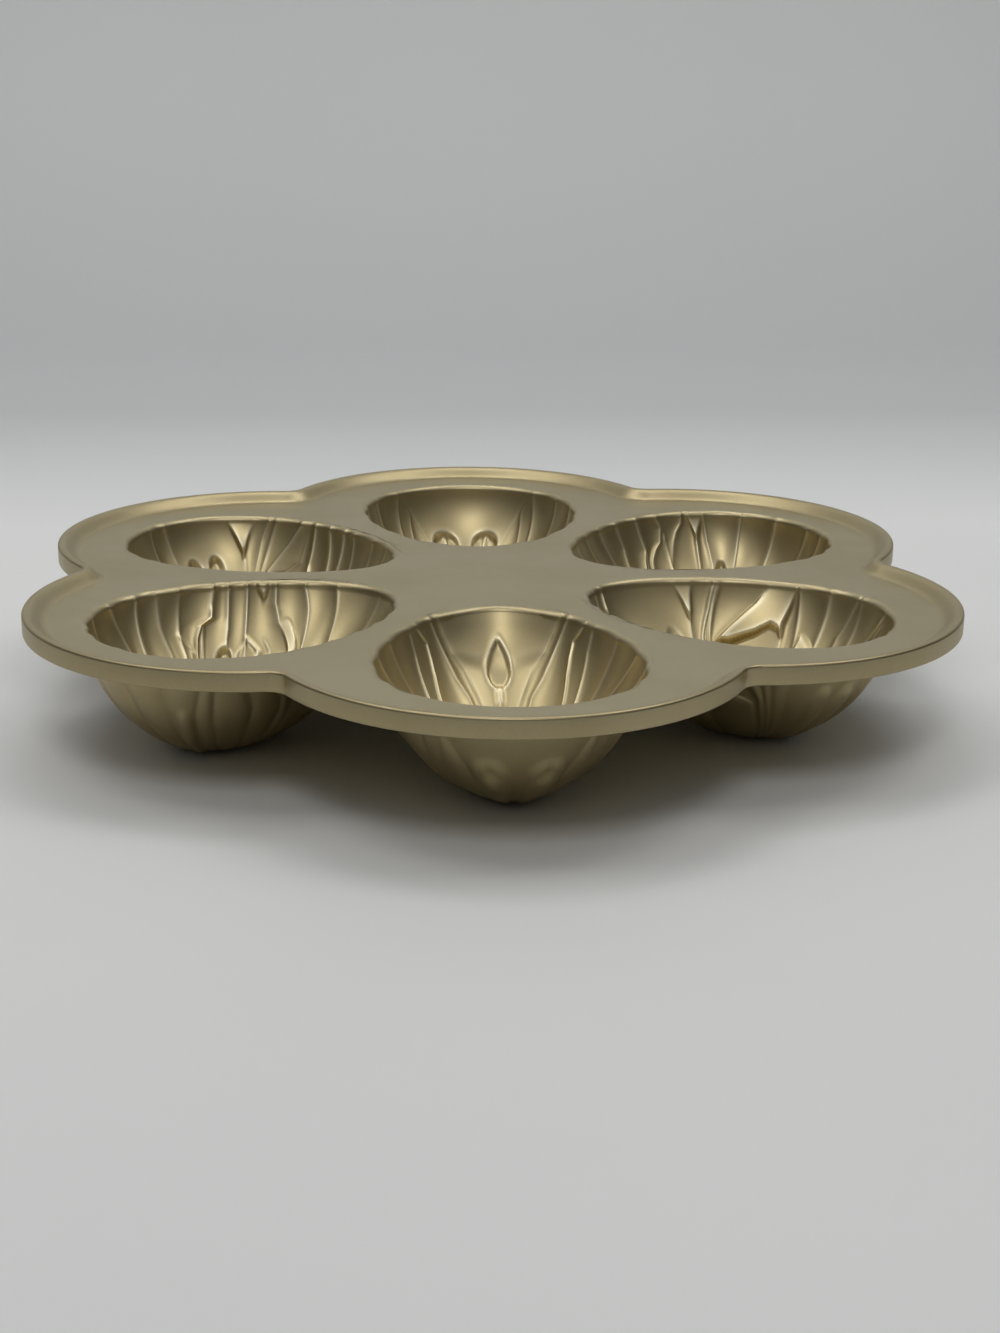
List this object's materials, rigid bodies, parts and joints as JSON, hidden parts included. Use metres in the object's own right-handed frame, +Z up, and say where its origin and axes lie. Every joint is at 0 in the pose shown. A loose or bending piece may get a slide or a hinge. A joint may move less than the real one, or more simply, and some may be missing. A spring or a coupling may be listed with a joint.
{
  "type": "cakelet pan",
  "caption": "Cast cakelet pan with deep egg-shaped relief wells in a lobed deck with a raised rim.",
  "frame": {"origin": "under the middle of the pan, on the surface that its wells stand on", "axes": "+Z up, -Y towards the front lobe, so that Y runs across two opposite lobes"},
  "size_m": [0.3114, 0.336, 0.0463],
  "materials": {
    "deck_coat": "matt champagne non-stick coat on cast aluminium",
    "rim_coat": "satin champagne non-stick coat on cast aluminium",
    "well_coat": "semi-gloss champagne non-stick coat on cast aluminium"
  },
  "bodies": {
    "root": {"deck": "deck_coat", "raised_rim": "rim_coat", "well_front": "well_coat", "well_front_right": "well_coat", "well_back_right": "well_coat", "well_back": "well_coat", "well_back_left": "well_coat", "well_front_left": "well_coat"}
  },
  "joints": []
}
